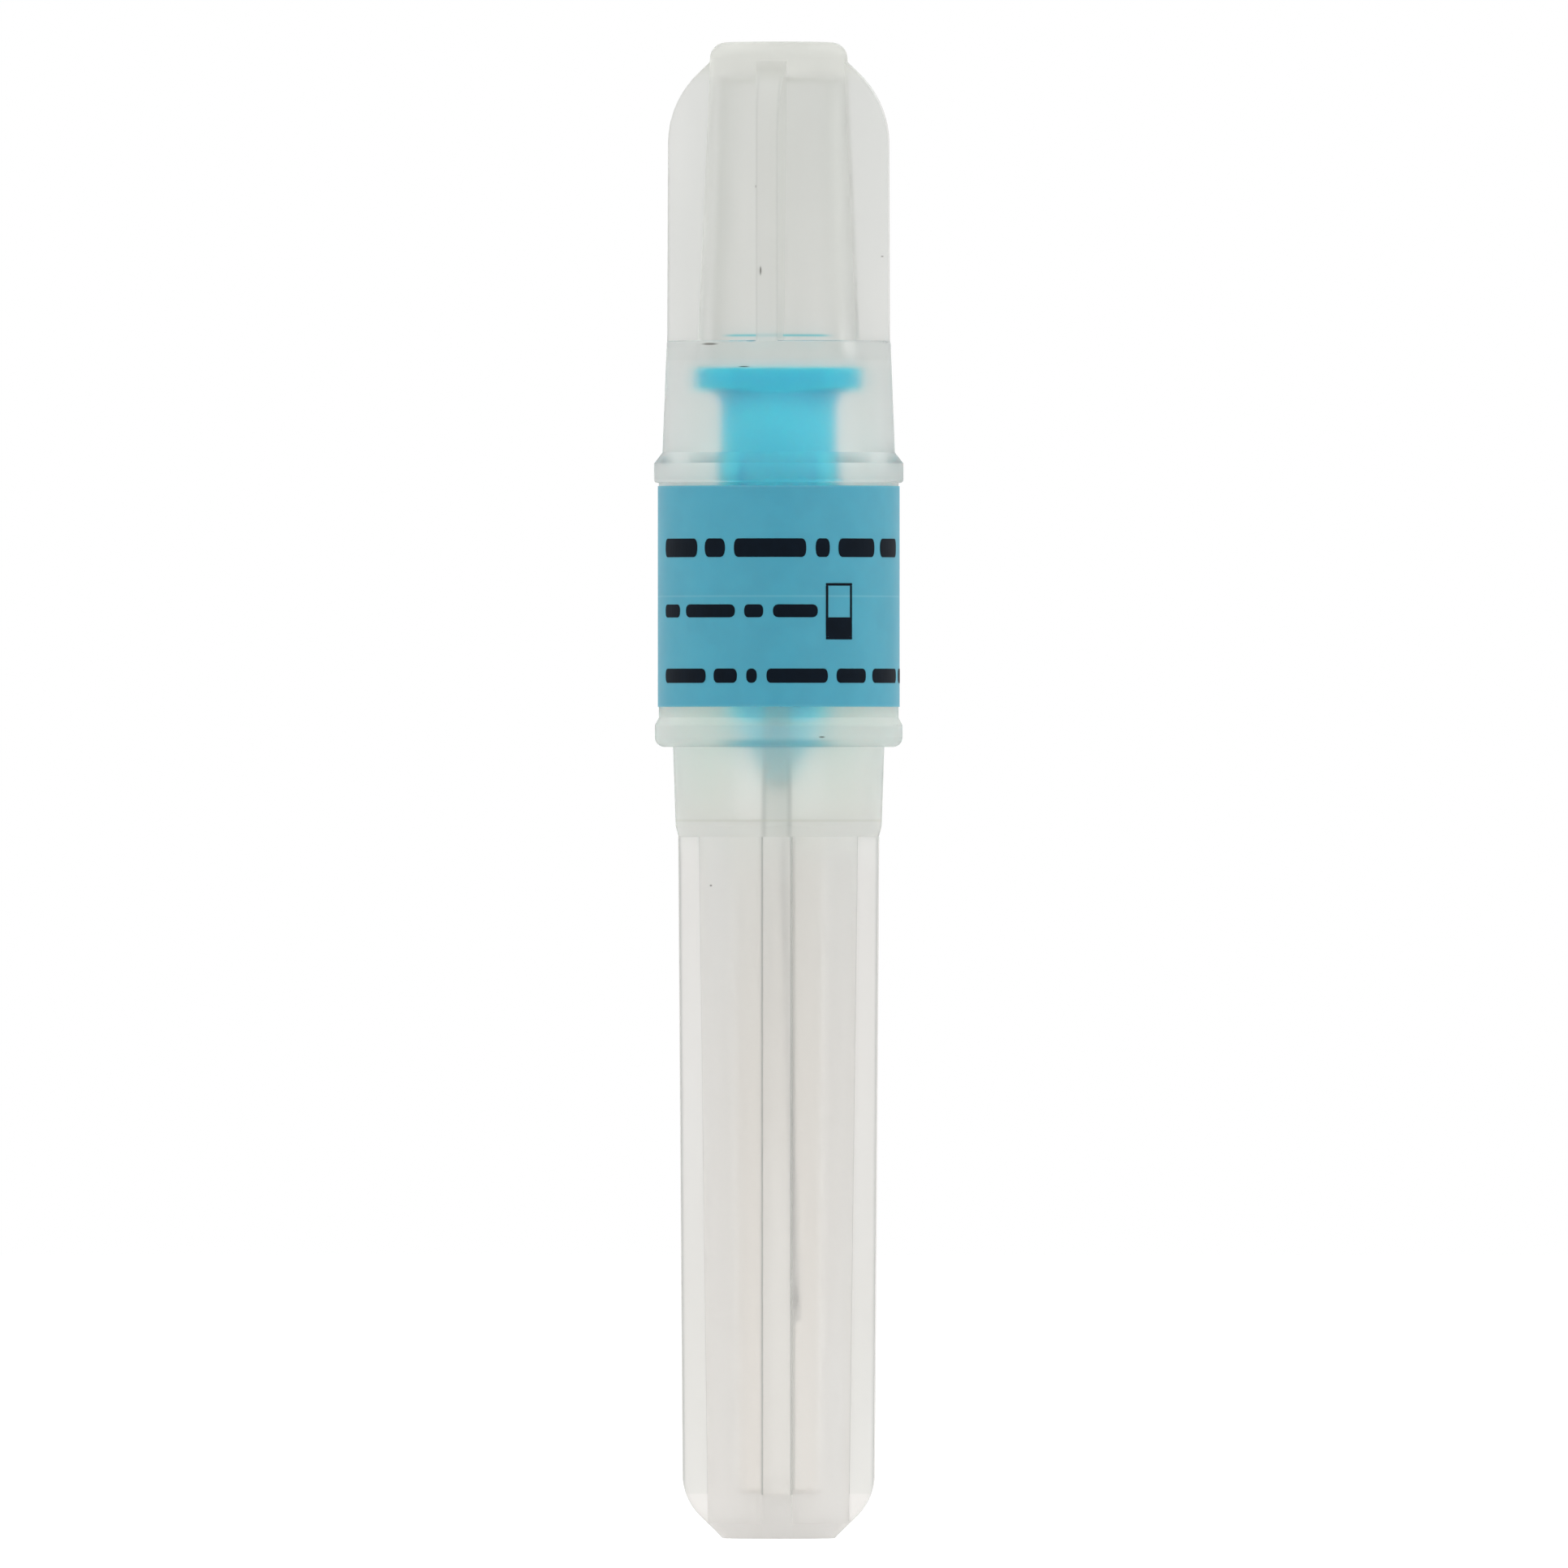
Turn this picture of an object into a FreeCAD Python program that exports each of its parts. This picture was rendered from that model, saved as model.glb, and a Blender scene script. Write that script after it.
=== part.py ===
import FreeCAD, Part
import math
import os

# An irrigation probe in its sealed tube: a Luer-lock hub with a fine blunt cannula stands in a
# long sheath, a cap is plugged into the sheath, and a film label is wrapped round the joint.
# Millimetres. The tube's axis is Z, the foot of the sheath stands on Z = 0, and the fins of the
# sheath lie along X and Y. The sizes run from the inside out: cannula, hub, sheath, cap, label.

# Cannula, with its round closed tip down and a vent slot in its side
cannula_radius = 0.155
cannula_wall = 0.075
cannula_exposed = 25.0
cannula_back = 0.9
cannula_lean = 1.7
tip_flat_radius = 0.01
tip_solid = 0.35
vent_width = 0.16
vent_length = 0.9
vent_from_tip = 0.7

# Glue well and nose of the hub
glue_gap = 0.265
glue_well_depth = 3.0
bead_rim = 0.14
bead_end_rim = 0.185
bead_height = 0.3
nose_tip_wall = 0.2
nose_base_radius = 1.85
nose_length = 2.55
cannula_clearance = 0.06
web_thickness = 1.0

# Luer socket, neck, body and wings of the hub
hub_length = 19.1
luer_mouth_radius = 2.15
luer_taper = 0.06
luer_depth = 8.5
throat_step = 0.185
throat_radius_high = 1.1
neck_wall = 0.53
neck_length = 3.0
neck_fillet = 0.9
neck_step_width = 0.17
neck_step_height = 0.3
lug_height = 1.15
lug_flat_height = 0.4
lug_thickness = 1.0
lug_edge_round = 0.15
shoulder_width = 0.48
wing_count = 4
wing_first_angle = 45.0
wing_radius = 3.1
wing_thickness = 0.8
wing_gap = 0.5
wing_slope_height = 0.45

# Sheath: foot, bore, core and fins
foot_flat_radius = 2.6
foot_slope = 45.5
sheath_end_wall = 2.05
tip_room = 7.9
sheath_bore_radius_low = 1.85
nose_clearance = 0.25
sheath_wall_low = 1.47
sheath_wall_high = 1.63
sheath_fin_height_low = 1.13
sheath_fin_height_high = 0.92
sheath_fin_thickness = 1.35
sheath_fin_end_radius = 2.7
fin_count = 4
bore_corner_radius = 0.4
gate_mark_radius = 0.6
gate_mark_depth = 0.15

# Sheath: collar with the four ribs on which the shoulder of the hub rests
seat_rise = 4.3
collar_floor = 0.8
collar_step_height = 0.5
collar_step_width = 0.13
wing_clearance = 1.0
collar_wall_low = 0.66
collar_wall_high = 0.78
rib_count = 4
rib_thickness = 1.17
rib_grip_length = 1.3
rib_lead = 0.3
hub_grip_clearance = 0.08
rib_blade_clearance = 0.45

# Joint: the spigot of the cap stands in the counterbore of the sheath
lug_clearance = 0.57
spigot_wall = 0.68
spigot_clearance = 0.02
spigot_length = 4.9
spigot_end_gap = 1.1
spigot_lead = 0.2
mouth_wall = 0.44

# Label round the joint, and the bare margins between its edges and the flanges
label_height = 10.2
label_thickness = 0.05
label_overlap = 24.0
label_margin_low = 0.5
label_margin_high = 0.15

# Flanges beside the label
sheath_flange_overhang = 0.18
sheath_flange_thickness = 1.35
sheath_flange_lower_round = 0.45
sheath_flange_upper_round = 0.2
sheath_flange_slope_height = 0.35
cap_flange_overhang = 0.22
cap_flange_thickness = 1.4
cap_flange_lower_round = 0.15
cap_flange_slope_height = 0.5

# Cap: collar over the lugs, then a finned tower with a slim bore
cap_turn = -5.0
cap_collar_wall_low = 0.97
cap_collar_wall_high = 0.77
cap_collar_round = 0.12
cap_head_gap = 0.35
cap_ceiling = 0.9
cap_tower_length = 13.8
cap_top_wall = 1.6
cap_top_round = 0.75
cap_bore_radius_low = 3.02
cap_bore_radius_high = 2.68
cap_lead_width = 0.3
cap_lead_height = 1.15
cap_wall_low = 0.71
cap_wall_high = 0.47
cap_fin_thickness = 1.3
cap_fin_edge_thickness = 1.0
cap_fin_inset = 0.02
cap_fin_draft = 0.04
cap_fin_drop = 0.87
cap_fin_shoulder_slope = 46.0
cap_fin_shoulder_radius = 4.5

# A round takes at most this share of the shorter of its two walls
round_limit = 0.95

# Radii that follow from the sizes above
cannula_hole_radius = cannula_radius + cannula_clearance
glue_well_radius = cannula_radius + glue_gap
nose_tip_radius = glue_well_radius + nose_tip_wall
neck_radius = luer_mouth_radius + neck_wall
lug_radius = neck_radius + lug_height
lug_flat_distance = neck_radius + lug_flat_height
body_radius_high = neck_radius + neck_step_width
body_radius_low = nose_base_radius + shoulder_width
sheath_bore_radius_high = nose_base_radius + nose_clearance
sheath_core_radius_low = sheath_bore_radius_low + sheath_wall_low
sheath_core_radius_high = sheath_bore_radius_high + sheath_wall_high
sheath_fin_radius_low = sheath_core_radius_low + sheath_fin_height_low
sheath_fin_radius_high = sheath_core_radius_high + sheath_fin_height_high
collar_bore_radius = wing_radius + wing_clearance
hub_room_radius = lug_radius + lug_clearance
spigot_radius = hub_room_radius + spigot_wall
counterbore_radius = spigot_radius + spigot_clearance
band_radius = counterbore_radius + mouth_wall
label_radius = band_radius + label_thickness
sheath_flange_radius = band_radius + sheath_flange_overhang
cap_flange_radius = band_radius + cap_flange_overhang
cap_core_radius_low = cap_bore_radius_low + cap_wall_low
cap_core_radius_high = cap_bore_radius_high + cap_wall_high

# Heights above the foot that several pieces share
hub_bottom = sheath_end_wall + tip_room + cannula_exposed
rib_seat = hub_bottom + nose_length
rib_top = rib_seat + rib_grip_length
collar_floor_top = rib_seat - seat_rise
collar_bottom = collar_floor_top - collar_floor
joint_height = rib_seat + spigot_end_gap + spigot_length
hub_top = hub_bottom + hub_length

# Heights in the hub, measured from the tip of its nose
web_bottom = glue_well_depth
web_top = web_bottom + web_thickness
lug_bottom = hub_length - lug_thickness
neck_bottom = lug_bottom - neck_length
body_top = neck_bottom - neck_step_height
cannula_pivot = FreeCAD.Vector(0, 0, web_bottom + web_thickness / 2)

# Heights in the cap, measured from its lip at the joint
cap_band_top = label_height / 2 + label_margin_high
cap_flange_top = cap_band_top + cap_flange_thickness
cap_room_top = hub_top + cap_head_gap - joint_height
cap_collar_top = cap_room_top + cap_ceiling
cap_length = cap_collar_top + cap_tower_length

up = FreeCAD.Vector(0, 0, 1)
origin = FreeCAD.Vector(0, 0, 0)


def corner_arc(before, corner, after, radius):
    """The arc that is tangent to both lines at a corner, limited by the shorter line."""
    towards_before = before - corner
    towards_after = after - corner
    reach = round_limit * min(towards_before.Length, towards_after.Length)
    towards_before.normalize()
    towards_after.normalize()
    half_angle = towards_before.getAngle(towards_after) / 2
    tangent_length = min(radius / math.tan(half_angle), reach)
    fitted_radius = tangent_length * math.tan(half_angle)
    bisector = (towards_before + towards_after).normalize()
    start = corner + towards_before * tangent_length
    middle = corner + bisector * (fitted_radius / math.sin(half_angle) - fitted_radius)
    end = corner + towards_after * tangent_length
    return start, Part.Arc(start, middle, end).toShape(), end


def turned(corners):
    """A solid of revolution about Z from (radius, height) corners, or (radius, height, round)."""
    points = [FreeCAD.Vector(corner[0], 0, corner[1]) for corner in corners]
    edges = []
    first = None
    last = None
    for index, point in enumerate(points):
        start, arc, end = point, None, point
        if len(corners[index]) > 2:
            after = points[(index + 1) % len(points)]
            start, arc, end = corner_arc(points[index - 1], point, after, corners[index][2])
        if last is None:
            first = start
        else:
            edges.append(Part.makeLine(last, start))
        if arc:
            edges.append(arc)
        last = end
    edges.append(Part.makeLine(last, first))
    return Part.Face(Part.Wire(edges)).revolve(origin, up, 360)


def cone(radius_low, radius_high, bottom, top):
    """A plain cone or cylinder on the axis."""
    return turned([(0, bottom), (radius_low, bottom), (radius_high, top), (0, top)])


def blades(count, radius, thickness, bottom, top, first_angle=0):
    """Upright plates round the axis, twice as long as the radius to which they are trimmed later."""
    plates = []
    for index in range(count):
        corner = FreeCAD.Vector(0, -thickness / 2, bottom)
        plate = Part.makeBox(2 * radius, thickness, top - bottom, corner)
        plate.rotate(origin, up, first_angle + index * 360 / count)
        plates.append(plate)
    return plates[0].multiFuse(plates[1:])


def drafted_blades(count, root_radius, root_thickness, edge_radius, edge_thickness, bottom, top):
    """Plates that thin out from root to edge, as a mould needs, and run a little past the edge."""
    draft = (root_thickness - edge_thickness) / 2 / (edge_radius - root_radius)
    half_at_axis = root_thickness / 2 + draft * root_radius
    overshoot = (edge_radius - root_radius) / 4
    half_at_end = edge_thickness / 2 - draft * overshoot
    corners = [
        FreeCAD.Vector(0, -half_at_axis, bottom),
        FreeCAD.Vector(edge_radius + overshoot, -half_at_end, bottom),
        FreeCAD.Vector(edge_radius + overshoot, half_at_end, bottom),
        FreeCAD.Vector(0, half_at_axis, bottom),
    ]
    outline = Part.Face(Part.makePolygon(corners + corners[:1]))
    plates = []
    for index in range(count):
        plate = outline.extrude(FreeCAD.Vector(0, 0, top - bottom))
        plate.rotate(origin, up, index * 360 / count)
        plates.append(plate)
    return plates[0].multiFuse(plates[1:])


def leaning(shape):
    """Tilts a shape about the web of the hub, so that its lower end moves towards +X."""
    tilted = shape.copy()
    tilted.rotate(cannula_pivot, FreeCAD.Vector(0, 1, 0), -cannula_lean)
    return tilted


def lifted(shape, height):
    """Sets a piece that was modelled from its own end at its height above the foot."""
    shape.translate(FreeCAD.Vector(0, 0, height))
    return shape


def gate_mark(bottom):
    """The shallow round recess that the moulding gate leaves in a closed end."""
    return cone(gate_mark_radius, gate_mark_radius, bottom, bottom + gate_mark_depth)


def make_cannula():
    """A tube closed by a round tip, with a slot through one side above the tip."""
    top = web_top + cannula_back
    bore_radius = cannula_radius - cannula_wall
    rod = turned([
        (0, -cannula_exposed),
        (cannula_radius, -cannula_exposed, cannula_radius - tip_flat_radius),
        (cannula_radius, top),
        (0, top),
    ])
    bore = cone(bore_radius, bore_radius, tip_solid - cannula_exposed, top)
    slot_corner = FreeCAD.Vector(-vent_width / 2, -2 * cannula_radius, vent_from_tip - cannula_exposed)
    slot = Part.makeBox(vent_width, 2 * cannula_radius, vent_length, slot_corner)
    return lifted(leaning(rod.cut(bore).cut(slot)), hub_bottom)


def make_adhesive_bead():
    """Glue that fills the well round the cannula and stands out of the nose as a small collar."""
    fill = turned([
        (0, -bead_height),
        (cannula_radius + bead_end_rim, -bead_height),
        (glue_well_radius + bead_rim, 0),
        (glue_well_radius, 0),
        (glue_well_radius, web_bottom),
        (0, web_bottom),
    ])
    passage = leaning(cone(cannula_radius, cannula_radius, -hub_length, hub_length))
    return lifted(fill.cut(passage), hub_bottom)


def hub_trunk():
    """Cone nose, shoulder, body, neck, and a round flange whose two flats leave the lugs."""
    trunk = turned([
        (0, 0),
        (nose_tip_radius, 0),
        (nose_base_radius, nose_length),
        (body_radius_low, nose_length),
        (body_radius_high, body_top),
        (neck_radius, neck_bottom),
        (neck_radius, lug_bottom, neck_fillet),
        (lug_radius, lug_bottom, lug_edge_round),
        (lug_radius, hub_length, lug_edge_round),
        (0, hub_length),
    ])
    corner = FreeCAD.Vector(-2 * lug_radius, -lug_flat_distance, 0)
    return trunk.common(Part.makeBox(4 * lug_radius, 2 * lug_flat_distance, hub_length, corner))


def hub_wings():
    """Grip wings of the hub, with sloped ends, that stand between the ribs of the sheath."""
    bottom = nose_length + wing_gap
    plates = blades(wing_count, wing_radius, wing_thickness, bottom, body_top, wing_first_angle)
    envelope = turned([
        (0, bottom),
        (body_radius_low, bottom),
        (wing_radius, bottom + wing_slope_height),
        (wing_radius, body_top - wing_slope_height),
        (body_radius_high, body_top),
        (0, body_top),
    ])
    return plates.common(envelope)


def hub_inside():
    """Glue well in the nose, the hole of the web, the throat and the tapered Luer socket."""
    socket_floor = hub_length - luer_depth
    socket_floor_radius = luer_mouth_radius - luer_depth * luer_taper / 2
    return turned([
        (0, 0),
        (glue_well_radius, 0),
        (glue_well_radius, web_bottom),
        (cannula_hole_radius, web_bottom),
        (cannula_hole_radius, web_top),
        (cannula_hole_radius + throat_step, web_top),
        (throat_radius_high, socket_floor),
        (socket_floor_radius, socket_floor),
        (luer_mouth_radius, hub_length),
        (0, hub_length),
    ])


def make_hub():
    hub = hub_trunk().fuse(hub_wings()).cut(hub_inside())
    return lifted(hub.removeSplitter(), hub_bottom)


def sheath_outside():
    """Core and fins, both cut by the sloped foot edge, then collar, flange and mouth."""
    slope_top = (sheath_fin_radius_low - foot_flat_radius) / math.tan(math.radians(foot_slope))
    flange_top = joint_height - label_height / 2 - label_margin_low
    flange_bottom = flange_top - sheath_flange_thickness
    envelope = turned([
        (0, 0),
        (foot_flat_radius, 0),
        (sheath_fin_radius_low, slope_top, sheath_fin_end_radius),
        (sheath_fin_radius_high, collar_bottom),
        (0, collar_bottom),
    ])
    core = cone(sheath_core_radius_low, sheath_core_radius_high, 0, collar_bottom)
    fins = blades(fin_count, sheath_fin_radius_high, sheath_fin_thickness, 0, collar_bottom)
    collar_radius = collar_bore_radius + collar_wall_low
    collar = turned([
        (0, collar_bottom),
        (collar_radius - collar_step_width, collar_bottom),
        (collar_radius, collar_bottom + collar_step_height),
        (collar_bore_radius + collar_wall_high, flange_bottom),
        (sheath_flange_radius, flange_bottom, sheath_flange_lower_round),
        (sheath_flange_radius, flange_top - sheath_flange_slope_height, sheath_flange_upper_round),
        (band_radius, flange_top),
        (band_radius, joint_height),
        (0, joint_height),
    ])
    return envelope.common(core.fuse(fins)).fuse(collar)


def sheath_inside():
    """Bore of the cannula, room of the hub in the collar, and counterbore of the spigot."""
    return turned([
        (0, sheath_end_wall),
        (sheath_bore_radius_low, sheath_end_wall, bore_corner_radius),
        (sheath_bore_radius_high, collar_floor_top),
        (collar_bore_radius, collar_floor_top),
        (collar_bore_radius, rib_seat),
        (counterbore_radius, rib_seat),
        (counterbore_radius, joint_height),
        (0, joint_height),
    ])


def sheath_ribs():
    """Ribs on the collar's floor: a seat for the hub's shoulder, and a short blade above it."""
    blade_radius = hub_room_radius - rib_blade_clearance
    grip_radius = body_radius_low + hub_grip_clearance
    plates = blades(rib_count, counterbore_radius, rib_thickness, collar_floor_top, rib_top)
    root = cone(collar_bore_radius, collar_bore_radius, collar_floor_top, rib_seat)
    blade = cone(blade_radius, blade_radius, rib_seat, rib_top)
    hub_space = turned([
        (0, collar_floor_top),
        (sheath_bore_radius_high, collar_floor_top),
        (sheath_bore_radius_high, rib_seat),
        (grip_radius, rib_seat),
        (grip_radius, rib_top - rib_lead),
        (grip_radius + rib_lead, rib_top),
        (0, rib_top),
    ])
    return plates.common(root.fuse(blade)).cut(hub_space)


def make_sheath():
    shell = sheath_outside().cut(sheath_inside()).cut(gate_mark(0))
    return shell.fuse(sheath_ribs()).removeSplitter()


def cap_base():
    """The spigot below the lip, then the skirt under the label, the flange and the collar."""
    collar_radius = hub_room_radius + cap_collar_wall_low
    return turned([
        (0, -spigot_length),
        (spigot_radius - spigot_lead, -spigot_length),
        (spigot_radius, spigot_lead - spigot_length),
        (spigot_radius, 0),
        (band_radius, 0),
        (band_radius, cap_band_top),
        (cap_flange_radius, cap_band_top, cap_flange_lower_round),
        (cap_flange_radius, cap_flange_top - cap_flange_slope_height),
        (collar_radius, cap_flange_top),
        (hub_room_radius + cap_collar_wall_high, cap_collar_top, cap_collar_round),
        (0, cap_collar_top),
    ])


def cap_tower():
    """The round core with its flat top, and fins that start in the collar's rounded edge."""
    fin_start = cap_collar_top - cap_collar_round
    core = turned([
        (0, cap_collar_top),
        (cap_core_radius_low, cap_collar_top),
        (cap_core_radius_high, cap_length, cap_top_round),
        (0, cap_length),
    ])
    fin_radius_low = hub_room_radius + cap_collar_wall_high - cap_fin_inset
    fin_radius_high = fin_radius_low - cap_fin_draft
    fin_end = cap_length - cap_fin_drop
    slope = math.tan(math.radians(cap_fin_shoulder_slope))
    shoulder = fin_end - (fin_radius_high - cap_core_radius_high) / slope
    envelope = turned([
        (0, fin_start),
        (fin_radius_low, fin_start),
        (fin_radius_high, shoulder, cap_fin_shoulder_radius),
        (cap_core_radius_high, fin_end),
        (0, fin_end),
    ])
    fins = drafted_blades(
        fin_count, cap_core_radius_low, cap_fin_thickness,
        fin_radius_low, cap_fin_edge_thickness, fin_start, fin_end)
    return core.fuse(envelope.common(fins))


def cap_inside():
    """Room of the hub and its lugs under a flat ceiling, then a slim bore up to the solid top."""
    return turned([
        (0, -spigot_length),
        (hub_room_radius, -spigot_length),
        (hub_room_radius, cap_room_top),
        (cap_bore_radius_low + cap_lead_width, cap_room_top),
        (cap_bore_radius_low, cap_room_top + cap_lead_height),
        (cap_bore_radius_high, cap_length - cap_top_wall, bore_corner_radius),
        (0, cap_length - cap_top_wall),
    ])


def make_cap():
    cap = cap_base().fuse(cap_tower()).cut(cap_inside()).cut(gate_mark(cap_length - gate_mark_depth))
    cap = cap.removeSplitter()
    cap.rotate(origin, up, cap_turn)
    return lifted(cap, joint_height)


def make_seal_label():
    """One turn of film centred on the joint, with its free end lying over its start."""
    film = cone(label_radius, label_radius, 0, label_height)
    free_end = Part.makeCylinder(label_radius + label_thickness, label_height, origin, up, label_overlap)
    free_end.rotate(origin, up, 90 - label_overlap / 2)
    inside = cone(band_radius, band_radius, 0, label_height)
    label = film.fuse(free_end).cut(inside)
    return lifted(label.removeSplitter(), joint_height - label_height / 2)


pieces = {
    "sheath": make_sheath(),
    "cap": make_cap(),
    "hub": make_hub(),
    "cannula": make_cannula(),
    "adhesive_bead": make_adhesive_bead(),
    "seal_label": make_seal_label(),
}

os.makedirs("parts", exist_ok=True)
for name, shape in pieces.items():
    shape.exportStep(os.path.join("parts", name + ".step"))
    print(name, "solids", len(shape.Solids), "valid", shape.isValid(), "volume", round(shape.Volume, 2))
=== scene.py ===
# %% [markdown]
# # An irrigation probe in its sealed tube
#
# The object is a blue Luer-lock hub with a fine steel cannula, shut in a frosted two-part tube
# whose joint is wrapped with a film label. The solids come from the CAD pack, in metres, and
# stand on the floor at the origin. This lesson dresses them: frosted, glossy, metal and printed
# finishes, a few printed marks, soft light and a camera. A tube that is seen through is mostly a
# matter of material and light, so most cells are about those two.

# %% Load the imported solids
import math

import bmesh
import bpy
from mathutils import Matrix, Vector


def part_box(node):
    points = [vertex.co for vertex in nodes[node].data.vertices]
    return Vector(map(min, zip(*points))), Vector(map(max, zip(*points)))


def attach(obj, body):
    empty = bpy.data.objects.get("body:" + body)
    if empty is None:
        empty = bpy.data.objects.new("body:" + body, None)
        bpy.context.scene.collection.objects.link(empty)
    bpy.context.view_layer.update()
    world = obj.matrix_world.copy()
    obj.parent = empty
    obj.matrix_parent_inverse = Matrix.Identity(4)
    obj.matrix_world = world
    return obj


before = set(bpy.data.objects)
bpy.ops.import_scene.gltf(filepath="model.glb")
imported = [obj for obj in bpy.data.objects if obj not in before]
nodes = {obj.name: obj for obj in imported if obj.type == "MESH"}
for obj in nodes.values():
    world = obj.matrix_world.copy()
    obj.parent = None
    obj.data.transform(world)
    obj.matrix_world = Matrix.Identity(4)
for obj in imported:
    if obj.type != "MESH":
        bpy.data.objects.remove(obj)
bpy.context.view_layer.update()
print("solids:", sorted(nodes))

# %% [markdown]
# ## Sizes that the finishes need
#
# A pattern has to sit where the real one does, so heights and radii are read from the solids and
# not typed again. The script works in metres, and `MM` turns the small sizes of this object into
# them. The sheath's highest point is the joint of the two halves of the tube, and the label's box
# gives the band on which the marks are printed.

# %% Measure the solids
MM = 0.001
BODY = "root"

label_low, label_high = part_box("seal_label")
sheath_low, sheath_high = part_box("sheath")
cap_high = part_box("cap")[1]
hub_low, hub_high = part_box("hub")
label_radius = label_high.x
joint_z = sheath_high.z
middle_z = (cap_high.z + sheath_low.z) / 2
print("label from", round(label_low.z / MM, 2), "to", round(label_high.z / MM, 2), "mm")
print("label radius", round(label_radius / MM, 2), "mm, joint at", round(joint_z / MM, 2), "mm")

# %% [markdown]
# ## Helpers for node trees
#
# A material here is a short list of nodes, so one helper adds a node and fills its sockets. A
# value that is a socket becomes a link, and any other value is typed into the socket. Constants
# of the finish, such as the IOR, are typed on the shader itself, because the export reads them
# there. A Map Range node with a smooth step is the soft switch that most patterns here start from.

# %% Node helpers
def add(tree, kind, settings=None, **sockets):
    """Adds a node, sets its options, and links or types its inputs by name."""
    node = tree.nodes.new(kind)
    for option, value in (settings or {}).items():
        setattr(node, option, value)
    for label, value in sockets.items():
        socket = node.inputs[label.replace("_", " ")]
        if isinstance(value, bpy.types.NodeSocket):
            tree.links.new(value, socket)
        else:
            socket.default_value = value
    return node


def calculate(tree, operation, *values):
    """One Math node on sockets or numbers."""
    node = tree.nodes.new("ShaderNodeMath")
    node.operation = operation
    for socket, value in zip(node.inputs, values):
        if isinstance(value, bpy.types.NodeSocket):
            tree.links.new(value, socket)
        else:
            socket.default_value = value
    return node.outputs[0]


def blend(tree, factor, first, second):
    """Mixes two colours, given as sockets or as (r, g, b)."""
    node = tree.nodes.new("ShaderNodeMix")
    node.data_type = "RGBA"
    node.clamp_factor = True
    sockets = (node.inputs[0], node.inputs[6], node.inputs[7])
    for socket, value in zip(sockets, (factor, first, second)):
        if isinstance(value, bpy.types.NodeSocket):
            tree.links.new(value, socket)
        elif isinstance(value, tuple):
            socket.default_value = (*value, 1)
        else:
            socket.default_value = value
    return node.outputs[2]


def ramp(tree, value, low, high, to_low=0.0, to_high=1.0):
    """Maps a value from one range to another, with a smooth step between and flat ends."""
    settings = {"interpolation_type": "SMOOTHSTEP"}
    node = add(tree, "ShaderNodeMapRange", settings)
    for socket, number in zip(node.inputs, (value, low, high, to_low, to_high)):
        if isinstance(number, bpy.types.NodeSocket):
            tree.links.new(number, socket)
        else:
            socket.default_value = number
    return node.outputs[0]


def new_material(name, **constants):
    """A Principled material with constants on its own sockets."""
    material = bpy.data.materials.new(name)
    material.use_nodes = True
    shader = material.node_tree.nodes["Principled BSDF"]
    for label, value in constants.items():
        shader.inputs[label.replace("_", " ")].default_value = value
    return material, material.node_tree, shader


def dress(name, material):
    """Gives a CAD node its finish."""
    mesh = nodes[name].data
    mesh.materials.clear()
    mesh.materials.append(material)
    print(name, "is dressed in", material.name)


# %% [markdown]
# ## Cloudiness, shared by the mouldings
#
# A moulded plastic is never quite even: it is a little milkier where it flowed slowly, and its
# skin has a faint orange peel. Several finishes here need that, so it is a node group that is
# built once. Two noises make it, a broad one for the clouds and a fine one for the skin, and the
# group puts out a mask and a height. Each material then decides how strongly to use them.

# %% Build the cloudiness group
def make_cloud_group():
    group = bpy.data.node_groups.new("moulding_clouds", "ShaderNodeTree")
    face = group.interface
    face.new_socket("Cloud Scale", in_out="INPUT", socket_type="NodeSocketFloat")
    face.new_socket("Skin Scale", in_out="INPUT", socket_type="NodeSocketFloat")
    face.new_socket("Stretch", in_out="INPUT", socket_type="NodeSocketFloat")
    face.new_socket("Cloud", in_out="OUTPUT", socket_type="NodeSocketFloat")
    face.new_socket("Skin", in_out="OUTPUT", socket_type="NodeSocketFloat")
    given = group.nodes.new("NodeGroupInput")
    result = group.nodes.new("NodeGroupOutput")
    place = group.nodes.new("ShaderNodeTexCoord").outputs["Object"]
    split = add(group, "ShaderNodeSeparateXYZ", Vector=place)
    tall = calculate(group, "MULTIPLY", split.outputs["Z"], given.outputs["Stretch"])
    drawn = add(group, "ShaderNodeCombineXYZ", X=split.outputs["X"], Y=split.outputs["Y"], Z=tall)
    cloud = add(group, "ShaderNodeTexNoise", Vector=drawn.outputs[0],
                Scale=given.outputs["Cloud Scale"], Detail=2.0, Roughness=0.5)
    skin = add(group, "ShaderNodeTexNoise", Vector=place, Scale=given.outputs["Skin Scale"],
               Detail=1.0, Roughness=0.5)
    group.links.new(cloud.outputs["Fac"], result.inputs["Cloud"])
    group.links.new(skin.outputs["Fac"], result.inputs["Skin"])
    return group


clouds = make_cloud_group()


def clouds_in(tree, cloud_scale, skin_scale, stretch=1.0):
    """Places the group in a material and returns its two outputs."""
    node = add(tree, "ShaderNodeGroup", {"node_tree": clouds})
    node.inputs["Cloud Scale"].default_value = cloud_scale
    node.inputs["Skin Scale"].default_value = skin_scale
    node.inputs["Stretch"].default_value = stretch
    return node.outputs["Cloud"], node.outputs["Skin"]


print("group sockets:", [item.name for item in clouds.interface.items_tree])

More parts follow.
